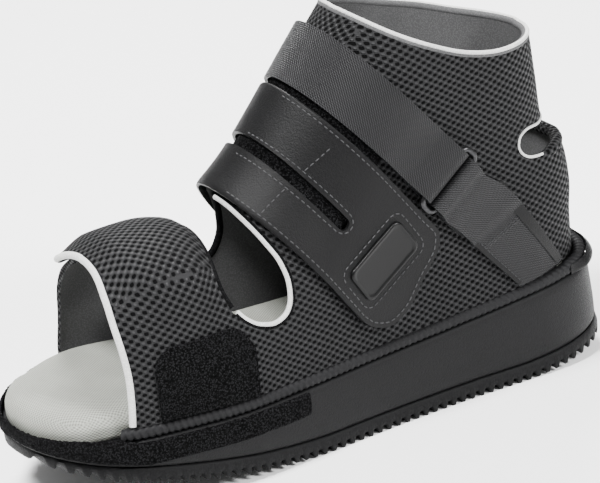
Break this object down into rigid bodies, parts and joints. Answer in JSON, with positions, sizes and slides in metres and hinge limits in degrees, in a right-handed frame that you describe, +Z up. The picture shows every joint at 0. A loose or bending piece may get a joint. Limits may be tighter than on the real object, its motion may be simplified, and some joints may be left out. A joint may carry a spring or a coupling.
{
  "type": "post operative shoe",
  "caption": "Post operative shoe with open toe, wedge rocker sole, mesh ankle wrap, instep straps in one tab and a webbing strap through a metal ring.",
  "frame": {"origin": "on the floor under the middle of the shoe's outside box", "axes": "+Z up, the toe points towards -Y, the outer side of the left foot towards +X"},
  "size_m": [0.106, 0.2925, 0.1846],
  "materials": {
    "tread_rubber": "matt, ribbed",
    "sole_foam": "satin foam skin",
    "loop_fabric": "fuzzy loops",
    "overlock_thread": "overlocked yarn",
    "insole_knit": "fine knit",
    "mesh_fabric": "spacer mesh with rounded holes",
    "piping": "matt bias tape",
    "dark_edge": "matt rolled edge",
    "synthetic_leather": "satin grain",
    "badge_plastic": "smooth, bare",
    "ring_metal": "dark satin",
    "webbing": "twill weave with a sheen"
  },
  "bodies": {
    "root": {"outsole": "tread_rubber", "midsole": "sole_foam", "toe_rand": "loop_fabric", "welt": "overlock_thread", "insole": "insole_knit", "upper": "mesh_fabric", "inner_toe_flap": "mesh_fabric", "toe_binding": "piping", "band_rear_binding": "dark_edge", "throat_binding": "piping", "collar_binding": "piping", "slot_binding": "piping", "hook_patch": "loop_fabric", "heel_cup": "sole_foam", "loop_panel": "loop_fabric", "double_strap": "synthetic_leather", "badge_plate": "badge_plastic", "ring_buckle": "ring_metal", "ankle_strap": "webbing", "anchor_strap": "webbing"}
  },
  "joints": []
}
